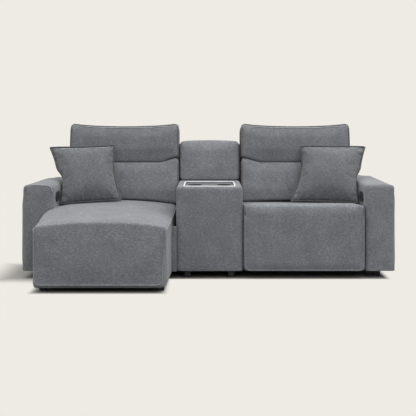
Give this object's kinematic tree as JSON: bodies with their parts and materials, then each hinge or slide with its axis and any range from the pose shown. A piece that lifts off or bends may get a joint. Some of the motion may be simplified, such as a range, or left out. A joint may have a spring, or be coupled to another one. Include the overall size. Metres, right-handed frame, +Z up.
{
  "type": "reclining sectional sofa",
  "caption": "Upholstered reclining sectional sofa with a chaise end, a cup-holder console, a power recliner end with footrest, tilting headrests and throw pillows.",
  "frame": {"origin": "centre of the bounding box's footprint, on the floor under the feet", "axes": "+X runs along the sofa's length towards the recliner end, the sitter faces -Y, +Z is up"},
  "size_m": [2.44, 1.3948, 1.0113],
  "materials": {
    "fabric": "blue-grey woven upholstery",
    "frame_wood": "raw hardwood and plywood",
    "black_steel": "black paint",
    "spring_steel": "oiled spring wire",
    "bright_steel": "polished",
    "black_plastic": "fine matt texture",
    "tray_laminate": "satin grey laminate"
  },
  "bodies": {
    "base": {"left_arm_cover": "fabric", "left_arm_frame": "frame_wood", "right_arm_cover": "fabric", "right_arm_frame": "frame_wood", "chaise_base_frame": "frame_wood", "chaise_base_cover": "fabric", "chaise_spring_1": "spring_steel", "chaise_spring_2": "spring_steel", "chaise_spring_3": "spring_steel", "chaise_front_left_foot": "black_plastic", "chaise_front_right_foot": "black_plastic", "chaise_seat_cushion": "fabric", "chaise_front_pad": "fabric", "chaise_back_pivot_rod": "black_steel", "chaise_pillow": "fabric", "recliner_base_frame": "frame_wood", "recline_actuator_body": "black_plastic", "console_body": "fabric", "console_tray": "tray_laminate", "left_cup_holder": "black_plastic", "right_cup_holder": "black_plastic", "console_back_pad": "fabric", "console_front_left_foot": "black_plastic", "console_front_right_foot": "black_plastic", "left_control_panel": "black_plastic", "right_control_panel": "black_plastic", "left_arm_rear_foot": "black_plastic", "right_arm_front_foot": "black_plastic", "right_arm_rear_foot": "black_plastic", "chaise_connector": "black_steel", "recliner_connector": "black_steel"},
    "recliner_seat": {"recliner_seat_frame": "black_steel", "recliner_spring_1": "spring_steel", "recliner_spring_2": "spring_steel", "recliner_spring_3": "spring_steel", "recliner_seat_cushion": "fabric", "footrest_actuator_body": "black_plastic", "recline_actuator_rod": "bright_steel", "recliner_back_pivot_rod": "black_steel", "recliner_pillow": "fabric"},
    "footrest_carriage": {"footrest_carriage": "black_steel", "footrest_actuator_rod": "bright_steel"},
    "footrest": {"footrest_board": "frame_wood", "footrest_pad": "fabric"},
    "recliner_back": {"recliner_back_frame": "frame_wood", "recliner_back_cushion": "fabric", "recliner_back_shell": "fabric"},
    "recliner_headrest": {"recliner_headrest_frame": "black_steel", "recliner_headrest_cushion": "fabric"},
    "chaise_back": {"chaise_back_frame": "frame_wood", "chaise_back_cushion": "fabric", "chaise_back_shell": "fabric"},
    "chaise_headrest": {"chaise_headrest_frame": "black_steel", "chaise_headrest_cushion": "fabric"},
    "left_button_1": {"left_button_1": "bright_steel"},
    "left_button_2": {"left_button_2": "bright_steel"},
    "right_button_1": {"right_button_1": "bright_steel"},
    "right_button_2": {"right_button_2": "bright_steel"}
  },
  "joints": [
    {"name": "recliner_glide", "type": "slide", "parent": "base", "child": "recliner_seat", "axis": [0, -1, 0], "range_m": [0, 0.12]},
    {"name": "recliner_recline", "type": "hinge", "parent": "recliner_seat", "child": "recliner_back", "pos_m": [0.6325, 0.45255, 0.335], "axis": [-1, 0, 0], "range_deg": [0, 30]},
    {"name": "recliner_headrest_tilt", "type": "hinge", "parent": "recliner_back", "child": "recliner_headrest", "pos_m": [0.6325, 0.45352, 0.73155], "axis": [1, 0, 0], "range_deg": [0, 35], "deforming": ["recliner_pillow"]},
    {"name": "footrest_slide", "type": "slide", "parent": "recliner_seat", "child": "footrest_carriage", "axis": [0, -1, 0], "range_m": [0, 0.225]},
    {"name": "footrest_swing", "type": "hinge", "parent": "footrest_carriage", "child": "footrest", "pos_m": [0.6325, -0.12745, 0.365], "axis": [-1, 0, 0], "range_deg": [0, 80]},
    {"name": "chaise_recline", "type": "hinge", "parent": "base", "child": "chaise_back", "pos_m": [-0.6125, 0.45255, 0.335], "axis": [-1, 0, 0], "range_deg": [0, 30]},
    {"name": "chaise_headrest_tilt", "type": "hinge", "parent": "chaise_back", "child": "chaise_headrest", "pos_m": [-0.6125, 0.45352, 0.73155], "axis": [1, 0, 0], "range_deg": [0, 35], "deforming": ["chaise_pillow"]},
    {"name": "left_button_1_press", "type": "slide", "parent": "base", "child": "left_button_1", "axis": [-1, 0, 0], "range_m": [0, 0.0015], "stiffness_N_per_m": 800},
    {"name": "left_button_2_press", "type": "slide", "parent": "base", "child": "left_button_2", "axis": [-1, 0, 0], "range_m": [0, 0.0015], "stiffness_N_per_m": 800},
    {"name": "right_button_1_press", "type": "slide", "parent": "base", "child": "right_button_1", "axis": [1, 0, 0], "range_m": [0, 0.0015], "stiffness_N_per_m": 800},
    {"name": "right_button_2_press", "type": "slide", "parent": "base", "child": "right_button_2", "axis": [1, 0, 0], "range_m": [0, 0.0015], "stiffness_N_per_m": 800}
  ],
  "couplings": [
    {"joint": "recliner_recline", "follows": "recliner_glide", "rad_per_m": 4.3633},
    {"joint": "footrest_swing", "follows": "footrest_slide", "rad_per_m": 6.2056}
  ]
}
